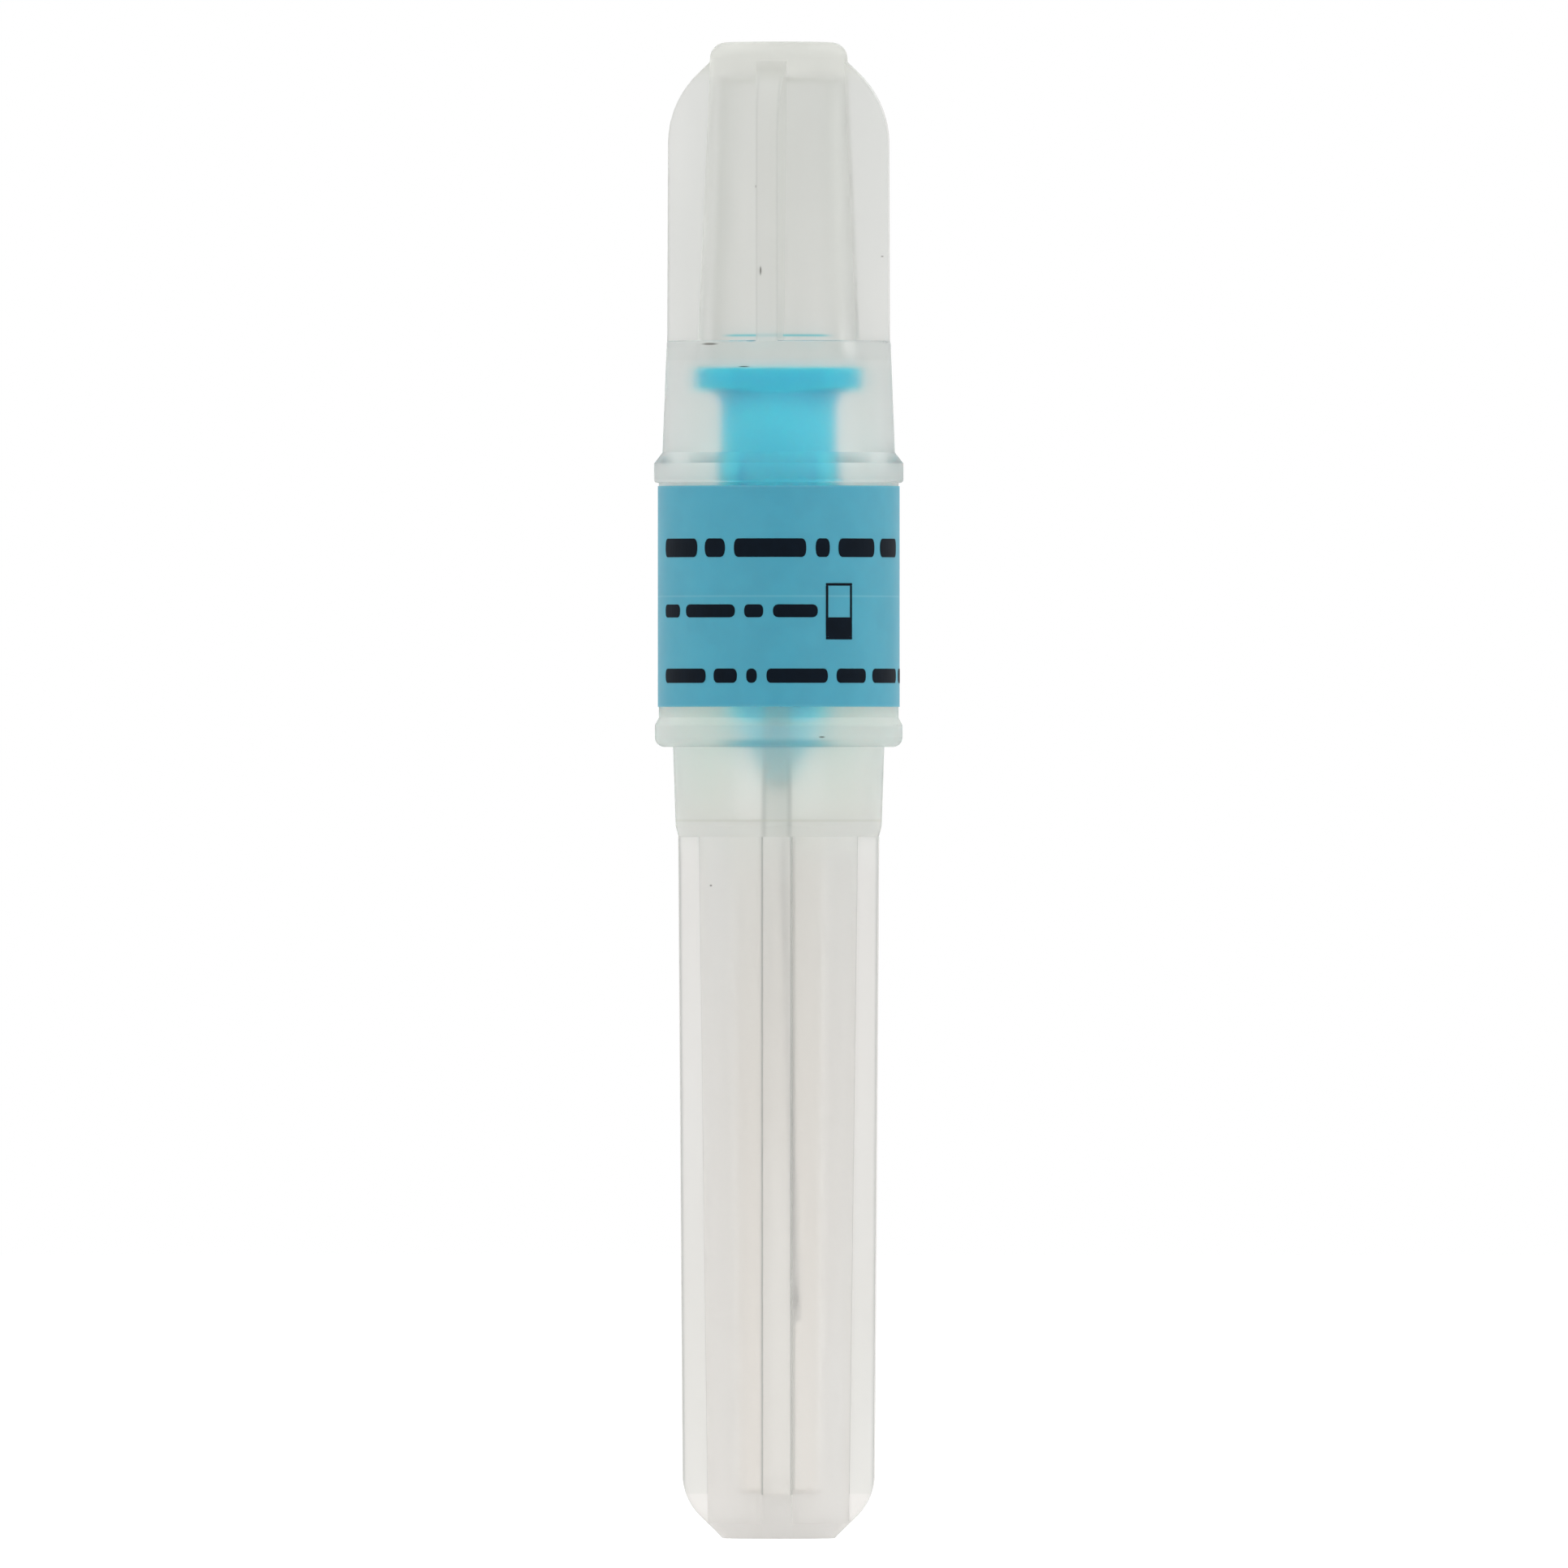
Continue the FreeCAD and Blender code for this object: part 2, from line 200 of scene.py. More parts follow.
# %% [markdown]
# ## The frosted tube
#
# Sheath and cap are natural polypropylene. It is milky all through, and its skin is faintly
# frosted, so it shows a soft picture of what is inside. Paint can't give that, and glass alone
# looks too clean, so two things work together here. The skin is rough glass, which blurs, and a
# thin scattering volume inside it puts a haze in front of whatever lies deeper. The haze needs a
# few more bounces than Blender gives it at first, or the light that it scatters is lost.

# %% Let light scatter inside the plastic
SCATTERING_BOUNCES = 8
LIGHT_BOUNCES = 20

scene = bpy.context.scene
scene.cycles.volume_bounces = SCATTERING_BOUNCES
scene.cycles.transmission_bounces = LIGHT_BOUNCES
scene.cycles.max_bounces = LIGHT_BOUNCES
print("bounces:", scene.cycles.max_bounces, "of which in a volume:", scene.cycles.volume_bounces)

# %% [markdown]
# ## Masks that follow the mouldings
#
# In the photograph the long edges of the fins are thin dark lines, because a moulded corner
# sends light sideways, and steps inside the wall show as soft lines and bands. Each gets a mask
# that is worked out from the position alone. Four crossed blades have their edges where the
# smaller of |x| and |y| equals half the blade's thickness. The flat sides of a fin lie there
# too, so the mask is kept to skin that faces outwards. A step inside is a ring at its height.

# %% Masks by height and by plane
def object_place(tree):
    """The position on the object, and its height."""
    place = tree.nodes.new("ShaderNodeTexCoord").outputs["Object"]
    return place, add(tree, "ShaderNodeSeparateXYZ", Vector=place).outputs["Z"]


def near_plane(tree, place, axis, full, none):
    """1 where the place along one axis is near 0, and 0 further out on both sides."""
    split = add(tree, "ShaderNodeSeparateXYZ", Vector=place)
    across = calculate(tree, "ABSOLUTE", split.outputs[axis])
    return ramp(tree, across, full, none, 1.0, 0.0)


def band(tree, height, low, high, soft):
    """1 between two heights, with soft ends."""
    above = ramp(tree, height, low - soft, low + soft)
    below = ramp(tree, height, high - soft, high + soft, 1.0, 0.0)
    return calculate(tree, "MULTIPLY", above, below)


def both(tree, *masks):
    """Where all the masks are 1."""
    result = masks[0]
    for mask in masks[1:]:
        result = calculate(tree, "MULTIPLY", result, mask)
    return result


# %% Masks round the axis
SEEN_FLAT = 0.6
SEEN_OUTWARD = 0.9


def beside_blade(tree, place, turn):
    """The smaller of |x| and |y|, after the blades are turned back."""
    turned = add(tree, "ShaderNodeMapping", Vector=place)
    turned.inputs["Rotation"].default_value = (0, 0, -turn)
    split = add(tree, "ShaderNodeSeparateXYZ", Vector=turned.outputs[0])
    across = calculate(tree, "ABSOLUTE", split.outputs["X"])
    along = calculate(tree, "ABSOLUTE", split.outputs["Y"])
    return calculate(tree, "MINIMUM", across, along)


def from_axis(tree, place):
    """The vector from the axis to the skin, square to the axis."""
    flat = add(tree, "ShaderNodeVectorMath", {"operation": "MULTIPLY"})
    tree.links.new(place, flat.inputs[0])
    flat.inputs[1].default_value = (1, 1, 0)
    return flat.outputs[0]


def radius_of(tree, place):
    """The distance from the axis."""
    length = add(tree, "ShaderNodeVectorMath", {"operation": "LENGTH"})
    tree.links.new(from_axis(tree, place), length.inputs[0])
    return length.outputs["Value"]


def facing_outwards(tree, place):
    """1 on skin that faces away from the axis, and 0 on the flat sides of a fin."""
    outward = add(tree, "ShaderNodeVectorMath", {"operation": "NORMALIZE"})
    tree.links.new(from_axis(tree, place), outward.inputs[0])
    facing = add(tree, "ShaderNodeVectorMath", {"operation": "DOT_PRODUCT"})
    tree.links.new(outward.outputs[0], facing.inputs[0])
    tree.links.new(tree.nodes.new("ShaderNodeNewGeometry").outputs["Normal"], facing.inputs[1])
    facing_axis = calculate(tree, "ABSOLUTE", facing.outputs["Value"])
    return ramp(tree, facing_axis, SEEN_FLAT, SEEN_OUTWARD)


def blade_lines(tree, place, thickness, turn, width):
    """A mask along the edges of four crossed blades, turned about Z."""
    side = beside_blade(tree, place, turn)
    from_edge = calculate(tree, "ABSOLUTE", calculate(tree, "SUBTRACT", side, thickness / 2))
    line = ramp(tree, from_edge, 0.0, width, 1.0, 0.0)
    return both(tree, line, facing_outwards(tree, place))


# %% [markdown]
# ## Flecks
#
# A few dark specks and one short fibre are caught in the plastic on the front. Each is a small
# ellipse: the position is moved and scaled so that its rim lies at length 1. Seen along X or Z
# such an ellipse would be a long streak, so the mask is kept to skin that faces the front.

# %% A mask for the flecks
FLECK_CORE = 0.4
FLECK_RIM = 1.2
FRONT_FACING = 0.5


def fleck_mask(tree, place, flecks):
    """Each fleck is (x, z, half its width, half its height), on the front of the tube."""
    mask = 0.0
    for across, height, half_width, half_height in flecks:
        near = add(tree, "ShaderNodeMapping", Vector=place)
        near.inputs["Scale"].default_value = (1 / half_width, 0, 1 / half_height)
        near.inputs["Location"].default_value = (-across / half_width, 0, -height / half_height)
        length = add(tree, "ShaderNodeVectorMath", {"operation": "LENGTH"})
        tree.links.new(near.outputs[0], length.inputs[0])
        spot = ramp(tree, length.outputs["Value"], FLECK_CORE, FLECK_RIM, 1.0, 0.0)
        mask = calculate(tree, "MAXIMUM", mask, spot)
    depth = add(tree, "ShaderNodeSeparateXYZ", Vector=place).outputs["Y"]
    normal = tree.nodes.new("ShaderNodeNewGeometry").outputs["Normal"]
    normal_depth = add(tree, "ShaderNodeSeparateXYZ", Vector=normal).outputs["Y"]
    facing = calculate(tree, "ABSOLUTE", normal_depth)
    in_front = calculate(tree, "LESS_THAN", depth, 0.0)
    return both(tree, mask, in_front, calculate(tree, "GREATER_THAN", facing, FRONT_FACING))


# %% [markdown]
# ## The colour of the frosted plastic
#
# The plastic is a little warmer and clearer at the foot than at the top. Close to the label and the
# hub it gets a painted green-blue glow, which stands in for the light that the blue label and hub
# scatter into it. The skin is rougher over the collars and the tower, where the photograph shows
# hardly more than a glow of what is inside.

# %% Frosted polypropylene
FROST_FOOT = (0.95, 0.925, 0.895)
FROST_TOP = (0.845, 0.852, 0.832)
FROST_MILK = (0.96, 0.955, 0.94)
# Painted shade for the dark lines along fin and rib edges.
EDGE_LINE_SHADE = (0.4, 0.42, 0.41)
FROST_DEPTH = (0.45, 0.42, 0.3)
DEPTH_DENSITY = 16.0
# Where the painted green-blue glow of the label and hub is full, and where it has faded out.
LABEL_GLOW_FULL = 4.5 * MM
LABEL_GLOW_END = 13.5 * MM
COLLAR_LOW = 29.0 * MM
COLLAR_HIGH = 34.0 * MM
COLLAR_ROUGHNESS = 0.58
TOWER_FOOT = 55.3 * MM
TOWER_BLUR_REACH = 2.0 * MM
TOWER_ROUGHNESS = 0.5
FLECK_COLOUR = (0.12, 0.11, 0.1)
HAZE_COLOUR = (0.99, 0.99, 0.985)


def make_frosted(name, roughness, haze_density, label_glow, marks, flecks):
    material, tree, shader = new_material(
        name, Roughness=roughness, IOR=1.2, Transmission_Weight=0.97)
    place, height = object_place(tree)
    colour = blend(tree, ramp(tree, height, 0.0, cap_high.z), FROST_FOOT, FROST_TOP)
    # A painted green-blue glow near the joint, for light that the blue label and hub scatter
    # inside.
    from_joint = calculate(tree, "ABSOLUTE", calculate(tree, "SUBTRACT", height, joint_z))
    colour = blend(tree, ramp(tree, from_joint, LABEL_GLOW_FULL, LABEL_GLOW_END), label_glow, colour)
    cloud, skin = clouds_in(tree, cloud_scale=260.0, skin_scale=2600.0, stretch=0.25)
    colour = blend(tree, ramp(tree, cloud, 0.4, 0.9), colour, FROST_MILK)
    for strength, mask, tone in marks(tree, place, height):
        colour = blend(tree, calculate(tree, "MULTIPLY", mask, strength), colour, tone)
    colour = blend(tree, fleck_mask(tree, place, flecks), colour, FLECK_COLOUR)
    tree.links.new(colour, shader.inputs["Base Color"])
    tree.links.new(collar_blur(tree, height, roughness), shader.inputs["Roughness"])
    bump = add(tree, "ShaderNodeBump", Strength=0.05, Distance=0.02 * MM, Height=skin)
    tree.links.new(bump.outputs[0], shader.inputs["Normal"])
    haze = add(tree, "ShaderNodeVolumeScatter", Color=(*HAZE_COLOUR, 1), Density=haze_density,
               Anisotropy=0.6)
    depth = add(tree, "ShaderNodeVolumeAbsorption", Color=(*FROST_DEPTH, 1),
                Density=DEPTH_DENSITY)
    body = tree.nodes.new("ShaderNodeAddShader")
    tree.links.new(haze.outputs[0], body.inputs[0])
    tree.links.new(depth.outputs[0], body.inputs[1])
    tree.links.new(body.outputs[0], tree.nodes["Material Output"].inputs["Volume"])
    return material


def collar_blur(tree, height, roughness):
    """The roughness by height: blurred in the sheath's collar and in the cap's tower."""
    middle = (COLLAR_LOW + COLLAR_HIGH) / 2
    collar = band(tree, height, middle, joint_z, middle - COLLAR_LOW)
    tower = ramp(tree, height, TOWER_FOOT, TOWER_FOOT + TOWER_BLUR_REACH)
    collar_skin = ramp(tree, collar, 0.0, 1.0, roughness, COLLAR_ROUGHNESS)
    tower_skin = ramp(tree, tower, 0.0, 1.0, roughness, TOWER_ROUGHNESS)
    return calculate(tree, "MAXIMUM", collar_skin, tower_skin)


# %% [markdown]
# ## Marks of the sheath
#
# Below the collar the fins have sharp dark lines of painted shade along their edges. Towards the
# foot their faces are clearer, and their flanks get a little painted shade. Inside the collar stand
# four ribs, seen as softer bands of painted shade that fade towards the hub, and the floor of the
# hub's room is a thin olive line of painted shade. The rounded lower edge of the flange gets a
# painted reflection of the hub's blue. A pair of sizes says where a tone starts to fade and where
# it is gone.

# %% Where the sheath's marks lie
SHEATH_FIN = 1.35 * MM
RIB = 1.17 * MM
BORE_END = 2.05 * MM
COLLAR_FOOT = 32.4 * MM
ROOM_FLOOR = 33.15 * MM
FLANGE_FOOT = 36.55 * MM
FLANGE_RIM = 0.35 * MM
LINE_WIDTH = 0.08 * MM
RIB_LINE_WIDTH = 0.2 * MM
EDGE_SOFTNESS = 0.05 * MM
FIN_REACH_FOOT = 4.45 * MM
FIN_REACH_COLLAR = 4.65 * MM
CLEAR_FACE = (12.0 * MM, 26.0 * MM)
DARK_FLANK = (4.0 * MM, 30.0 * MM)
RIB_FADE = (34.3 * MM, 36.6 * MM)
RIB_FAINTEST = 0.15
RIM_REACH = (1.4 * MM, 3.2 * MM)

# %% Tones of the sheath's marks
# The sheath's painted shade, and a painted reflection of the hub's blue on the flange.
RIB_SHADE = (0.74, 0.77, 0.73)
FLOOR_SHADE = (0.7, 0.71, 0.62)
FLANGE_HUB_REFLECTION = (0.42, 0.64, 0.67)
FIN_FACE = (1.0, 0.99, 0.97)
FIN_FLANK_SHADE = (0.7, 0.72, 0.68)
SHEATH_LABEL_GLOW = (0.905, 0.957, 0.925)
SHEATH_FLECKS = (
    (-3.09 * MM, 30.15 * MM, 0.07 * MM, 0.05 * MM),
    (2.1 * MM, 37.0 * MM, 0.16 * MM, 0.05 * MM),
)


# %% Dress the sheath
def sheath_fin_marks(tree, place, height):
    """The tones on the fins as (strength, mask, colour)."""
    side = beside_blade(tree, place, 0.0)
    outside = facing_outwards(tree, place)
    flanks = calculate(tree, "SUBTRACT", 1.0, outside)
    fins = band(tree, height, BORE_END, COLLAR_FOOT, EDGE_SOFTNESS)
    face = ramp(tree, side, SHEATH_FIN / 2, SHEATH_FIN / 2 + EDGE_SOFTNESS, 1.0, 0.0)
    reach = add(tree, "ShaderNodeMapRange", Value=height, From_Min=0.0, From_Max=COLLAR_FOOT,
                To_Min=FIN_REACH_FOOT, To_Max=FIN_REACH_COLLAR).outputs[0]
    to_edge = calculate(tree, "SUBTRACT", reach, radius_of(tree, place))
    edge = ramp(tree, to_edge, 0.0, 2 * LINE_WIDTH, 1.0, 0.0)
    lines = blade_lines(tree, place, SHEATH_FIN, 0.0, LINE_WIDTH)
    lower_half = ramp(tree, height, *CLEAR_FACE, 1.0, 0.0)
    near_foot = ramp(tree, height, *DARK_FLANK, 1.0, 0.0)
    return (
        (0.7, both(tree, face, outside, lower_half), FIN_FACE),
        # Painted shade: darker flanks near the foot, and dark lines along the fin edges.
        (0.33, both(tree, fins, flanks, near_foot), FIN_FLANK_SHADE),
        (0.55, both(tree, fins, flanks, edge), EDGE_LINE_SHADE),
        (1.0, both(tree, fins, lines), EDGE_LINE_SHADE),
    )


def collar_marks(tree, place, height):
    """The tones on the collar as (strength, mask, colour)."""
    side = beside_blade(tree, place, 0.0)
    outside = facing_outwards(tree, place)
    collar = band(tree, height, COLLAR_FOOT, label_low.z, EDGE_SOFTNESS)
    below_hub = ramp(tree, height, *RIB_FADE, 1.0, RIB_FAINTEST)
    on_rib = ramp(tree, side, RIB / 2 - RIB_LINE_WIDTH, RIB / 2 + RIB_LINE_WIDTH, 1.0, 0.0)
    lines = blade_lines(tree, place, RIB, 0.0, RIB_LINE_WIDTH)
    floor_line = band(tree, height, ROOM_FLOOR - EDGE_SOFTNESS, ROOM_FLOOR + EDGE_SOFTNESS,
                      EDGE_SOFTNESS)
    rim = band(tree, height, FLANGE_FOOT, FLANGE_FOOT + FLANGE_RIM, 3 * EDGE_SOFTNESS)
    return (
        # Painted shade: lines and bands where the ribs stand behind the wall, and the room's floor
        # line.
        (0.45, both(tree, collar, below_hub, lines), EDGE_LINE_SHADE),
        (0.3, both(tree, collar, below_hub, on_rib, outside), RIB_SHADE),
        (0.5, both(tree, floor_line, outside), FLOOR_SHADE),
        # A painted reflection of the hub's blue on the flange's rounded lower edge.
        (0.88, both(tree, rim, near_plane(tree, place, "X", *RIM_REACH)), FLANGE_HUB_REFLECTION),
    )


def sheath_marks(tree, place, height):
    return sheath_fin_marks(tree, place, height) + collar_marks(tree, place, height)


dress("sheath", make_frosted(
    "frosted_sheath", roughness=0.34, haze_density=240.0, label_glow=SHEATH_LABEL_GLOW,
    marks=sheath_marks, flecks=SHEATH_FLECKS))

# %% [markdown]
# ## Marks of the cap
#
# The cap's fins have weaker lines of painted shade, and they are turned with the cap. Painted shade
# makes their flanks a little darker than the core between them, and the core close to their roots
# too. The closed end is solid, so it looks deeper in tone, as does the thick ceiling over the hub.
# Where the ceiling opens into the bore of the tower, a thin line of painted reflection shows the
# hub's blue between the fins, and the ledge below it gets a painted highlight. In front of the lugs
# of the hub the collar is tinted with painted blue light from them.

# %% Where the cap's marks lie
CAP_FIN_EDGE = 1.0 * MM
CAP_TURN = math.radians(-5.0)
CAP_TOP_WALL = 1.6 * MM
CAP_CORE = 3.95 * MM
CEILING = 54.4 * MM
LEAD_EDGE = 55.53 * MM
LEAD_HALF_WIDTH = 0.05 * MM
LEAD_SOFTNESS = 0.04 * MM
LEDGE_LOW = 55.25 * MM
LEDGE_HIGH = 55.36 * MM
LEDGE_SOFTNESS = 0.03 * MM
LUG_FOOT = 52.9 * MM
CAP_LINE_WIDTH = 0.12 * MM
END_SOFTNESS = 0.4 * MM
MIDDLE_REACH = (1.9 * MM, 2.7 * MM)
ROOT_REACH = (1.0 * MM, 1.8 * MM)
LUG_REACH = (3.2 * MM, 4.2 * MM)

# %% Tones of the cap's marks
FROST_SOLID = (0.81, 0.82, 0.78)
FROST_CEILING = (0.79, 0.835, 0.813)
# A painted reflection of the hub's blue, a painted highlight, painted shade and painted blue light.
LEAD_HUB_REFLECTION = (0.14, 0.69, 0.75)
LEDGE_HIGHLIGHT = (1.0, 0.95, 0.91)
FLANK_SHADE = (0.7, 0.72, 0.68)
LUG_BLUE_LIGHT = (0.5, 0.9, 0.9)
CAP_LABEL_GLOW = (0.845, 0.91, 0.892)
CAP_FLECKS = (
    (-3.1 * MM, 55.13 * MM, 0.42 * MM, 0.06 * MM),
    (-0.73 * MM, 58.5 * MM, 0.045 * MM, 0.24 * MM),
    (-0.97 * MM, 62.4 * MM, 0.04 * MM, 0.08 * MM),
    (-1.5 * MM, 54.08 * MM, 0.28 * MM, 0.03 * MM),
    (4.8 * MM, 59.2 * MM, 0.08 * MM, 0.03 * MM),
)


# %% Dress the cap
def tower_marks(tree, place, height):
    """The tones on the finned tower as (strength, mask, colour)."""
    outside = facing_outwards(tree, place)
    flanks = calculate(tree, "SUBTRACT", 1.0, outside)
    core = ramp(tree, radius_of(tree, place), CAP_CORE, CAP_CORE + EDGE_SOFTNESS, 1.0, 0.0)
    solid_end = cap_high.z - CAP_TOP_WALL
    fins = band(tree, height, TOWER_FOOT, solid_end, EDGE_SOFTNESS)
    end = ramp(tree, height, solid_end - END_SOFTNESS, solid_end + END_SOFTNESS)
    lines = blade_lines(tree, place, CAP_FIN_EDGE, CAP_TURN, CAP_LINE_WIDTH)
    roots = both(tree, fins, core, near_plane(tree, place, "Y", *ROOT_REACH))
    return (
        # Painted shade: weak lines along the fin edges, the flanks, and the core near the roots.
        (0.25, both(tree, fins, lines), EDGE_LINE_SHADE),
        (0.22, both(tree, fins, flanks), FLANK_SHADE),
        (0.5, both(tree, roots, outside), FLANK_SHADE),
        (1.0, end, FROST_SOLID),
    )


def hub_room_marks(tree, place, height):
    """The tones over the hub as (strength, mask, colour)."""
    core = ramp(tree, radius_of(tree, place), CAP_CORE, CAP_CORE + EDGE_SOFTNESS, 1.0, 0.0)
    ceiling = band(tree, height, CEILING, TOWER_FOOT, EDGE_SOFTNESS)
    lugs = band(tree, height, LUG_FOOT, hub_high.z, 3 * EDGE_SOFTNESS)
    lead = band(tree, height, LEAD_EDGE - LEAD_HALF_WIDTH, LEAD_EDGE + LEAD_HALF_WIDTH,
                LEAD_SOFTNESS)
    ledge = band(tree, height, LEDGE_LOW, LEDGE_HIGH, LEDGE_SOFTNESS)
    from_fin = beside_blade(tree, place, CAP_TURN)
    between = ramp(tree, from_fin, CAP_FIN_EDGE / 2, CAP_FIN_EDGE / 2 + EDGE_SOFTNESS)
    middle = near_plane(tree, place, "X", *MIDDLE_REACH)
    return (
        (0.42, ceiling, FROST_CEILING),
        # Painted blue light from the hub's lugs, on the collar in front of them.
        (0.6, both(tree, lugs, near_plane(tree, place, "X", *LUG_REACH)), LUG_BLUE_LIGHT),
        # A painted highlight on the ledge between the fins.
        (0.8, both(tree, ledge, between, middle), LEDGE_HIGHLIGHT),
        # A painted reflection of the hub's blue where the ceiling opens into the bore.
        (0.8, both(tree, lead, core, middle), LEAD_HUB_REFLECTION),
    )


def cap_marks(tree, place, height):
    return tower_marks(tree, place, height) + hub_room_marks(tree, place, height)


dress("cap", make_frosted(
    "frosted_cap", roughness=0.36, haze_density=45.0, label_glow=CAP_LABEL_GLOW,
    marks=cap_marks, flecks=CAP_FLECKS))

# %% [markdown]
# ## The blue hub
#
# The hub is dyed polypropylene. It is seen through the frosted cap, where it looks like a lit
# block of colour, so it gets a body that light enters and leaves again: subsurface scattering
# with a short reach, under a smooth skin. The colour is deepest in the thick lugs, paler under
# the label and greyest in the nose.

# %% Blue hub plastic
HUB_BLUE = (0.002, 0.57, 0.79)
HUB_PALE = (0.01, 0.62, 0.83)
HUB_DEEP = (0.0, 0.5, 0.68)
HUB_LOW = (0.05, 0.68, 0.92)
HUB_NOSE = (0.24, 0.5, 0.58)
LUG_THICKNESS = 1.0 * MM
NOSE_LENGTH = 2.55 * MM


def make_hub_blue():
    material, tree, shader = new_material(
        "blue_hub_plastic", Roughness=0.3, IOR=1.49, Specular_IOR_Level=0.2, Subsurface_Weight=1.0,
        Subsurface_Scale=1.5 * MM)
    shader.inputs["Subsurface Radius"].default_value = (0.3, 0.9, 1.0)
    cloud, skin = clouds_in(tree, cloud_scale=420.0, skin_scale=3000.0)
    colour = blend(tree, ramp(tree, cloud, 0.3, 0.7), HUB_BLUE, HUB_PALE)
    place, height = object_place(tree)
    lugs = ramp(tree, height, hub_high.z - 1.5 * LUG_THICKNESS, hub_high.z - LUG_THICKNESS)
    colour = blend(tree, lugs, colour, HUB_DEEP)
    lower = ramp(tree, height, joint_z, label_high.z, 1.0, 0.0)
    colour = blend(tree, lower, colour, HUB_LOW)
    nose = ramp(tree, height, hub_low.z + 0.5 * NOSE_LENGTH, hub_low.z + NOSE_LENGTH, 1.0, 0.0)
    colour = blend(tree, nose, colour, HUB_NOSE)
    tree.links.new(colour, shader.inputs["Base Color"])
    bump = add(tree, "ShaderNodeBump", Strength=0.05, Distance=0.02 * MM, Height=skin)
    tree.links.new(bump.outputs[0], shader.inputs["Normal"])
    return material


dress("hub", make_hub_blue())

# %% [markdown]
# ## Cannula and glue
#
# The cannula is drawn stainless tube, so its polish runs along it: a noise that is squeezed along
# Z gives fine lines. The glue in the hub's nose is clear and set, almost glass.

# %% Drawn steel and clear glue
STEEL_DARK = (0.42, 0.43, 0.44)
STEEL_LIGHT = (0.64, 0.65, 0.66)
GLUE_CLEAR = (0.84, 0.86, 0.82)
GLUE_WARM = (0.78, 0.79, 0.72)


def make_steel():
    material, tree, shader = new_material("drawn_steel", Metallic=1.0)
    lines, skin = clouds_in(tree, cloud_scale=9000.0, skin_scale=6000.0, stretch=0.01)
    colour = blend(tree, ramp(tree, lines, 0.3, 0.7), STEEL_DARK, STEEL_LIGHT)
    tree.links.new(colour, shader.inputs["Base Color"])
    tree.links.new(ramp(tree, lines, 0.2, 0.8, 0.22, 0.38), shader.inputs["Roughness"])
    bump = add(tree, "ShaderNodeBump", Strength=0.1, Distance=0.005 * MM, Height=skin)
    tree.links.new(bump.outputs[0], shader.inputs["Normal"])
    return material


def make_glue():
    material, tree, shader = new_material(
        "clear_glue", Roughness=0.12, IOR=1.5, Transmission_Weight=0.85)
    cloud, skin = clouds_in(tree, cloud_scale=1500.0, skin_scale=4000.0)
    tree.links.new(blend(tree, cloud, GLUE_CLEAR, GLUE_WARM), shader.inputs["Base Color"])
    bump = add(tree, "ShaderNodeBump", Strength=0.1, Distance=0.01 * MM, Height=skin)
    tree.links.new(bump.outputs[0], shader.inputs["Normal"])
    return material


dress("cannula", make_steel())
dress("adhesive_bead", make_glue())

# %% [markdown]
# ## The seal label
#
# The label is printed film, a flat aqua blue with a satin skin, and white on its glued side,
# which shows through the tube. It has a faint pale line round its middle, where it tears when
# the tube is opened, and its blue fades a little at both edges. Both follow the height, so the
# material reads Z from the object's own coordinates. The film is thin, so light reaches only a
# little way into it.

# %% Label film
LABEL_BLUE = (0.043, 0.321, 0.432)
LABEL_DEEP = (0.04, 0.305, 0.413)
LABEL_PALE = (0.12, 0.39, 0.48)
LABEL_BACK = (0.92, 0.94, 0.94)
TEAR_LINE_WIDTH = 0.07 * MM
LABEL_EDGE_FADE = 0.12 * MM
LABEL_FILM = 0.05 * MM


def make_label():
    material, tree, shader = new_material(
        "label_film", Roughness=0.42, IOR=1.46, Subsurface_Weight=1.0,
        Subsurface_Scale=2 * LABEL_FILM)
    shader.inputs["Subsurface Radius"].default_value = (0.4, 0.9, 1.0)
    cloud, skin = clouds_in(tree, cloud_scale=700.0, skin_scale=4200.0)
    colour = blend(tree, ramp(tree, cloud, 0.3, 0.7), LABEL_DEEP, LABEL_BLUE)
    place, height = object_place(tree)
    from_tear = calculate(tree, "ABSOLUTE", calculate(tree, "SUBTRACT", height, joint_z))
    tear = ramp(tree, from_tear, 0.0, TEAR_LINE_WIDTH, 0.55, 0.0)
    above = calculate(tree, "SUBTRACT", height, label_low.z)
    below = calculate(tree, "SUBTRACT", label_high.z, height)
    edge = ramp(tree, calculate(tree, "MINIMUM", above, below), 0.0, LABEL_EDGE_FADE, 0.5, 0.0)
    colour = blend(tree, calculate(tree, "MAXIMUM", tear, edge), colour, LABEL_PALE)
    halfway = label_radius - 0.5 * LABEL_FILM
    back = calculate(tree, "LESS_THAN", radius_of(tree, place), halfway)
    colour = blend(tree, back, colour, LABEL_BACK)
    tree.links.new(colour, shader.inputs["Base Color"])
    bump = add(tree, "ShaderNodeBump", Strength=0.08, Distance=0.01 * MM, Height=skin)
    tree.links.new(bump.outputs[0], shader.inputs["Normal"])
    return material


dress("seal_label", make_label())

# %% [markdown]
# ## Marks on the label
#
# Labels of this kind carry three rows of dark print. These rows are plain bars, as a printer's
# layout has before there are words. Each mark starts as a flat grid, gets its corners rounded
# with a vertex bevel, and is wrapped round the label by turning distance into angle. That order
# matters, because a bevel on the flat grid stays true when it is bent.

# %% Helpers for flat marks
INK_THICKNESS = 0.006 * MM
STEP_ON_ARC = 0.25 * MM


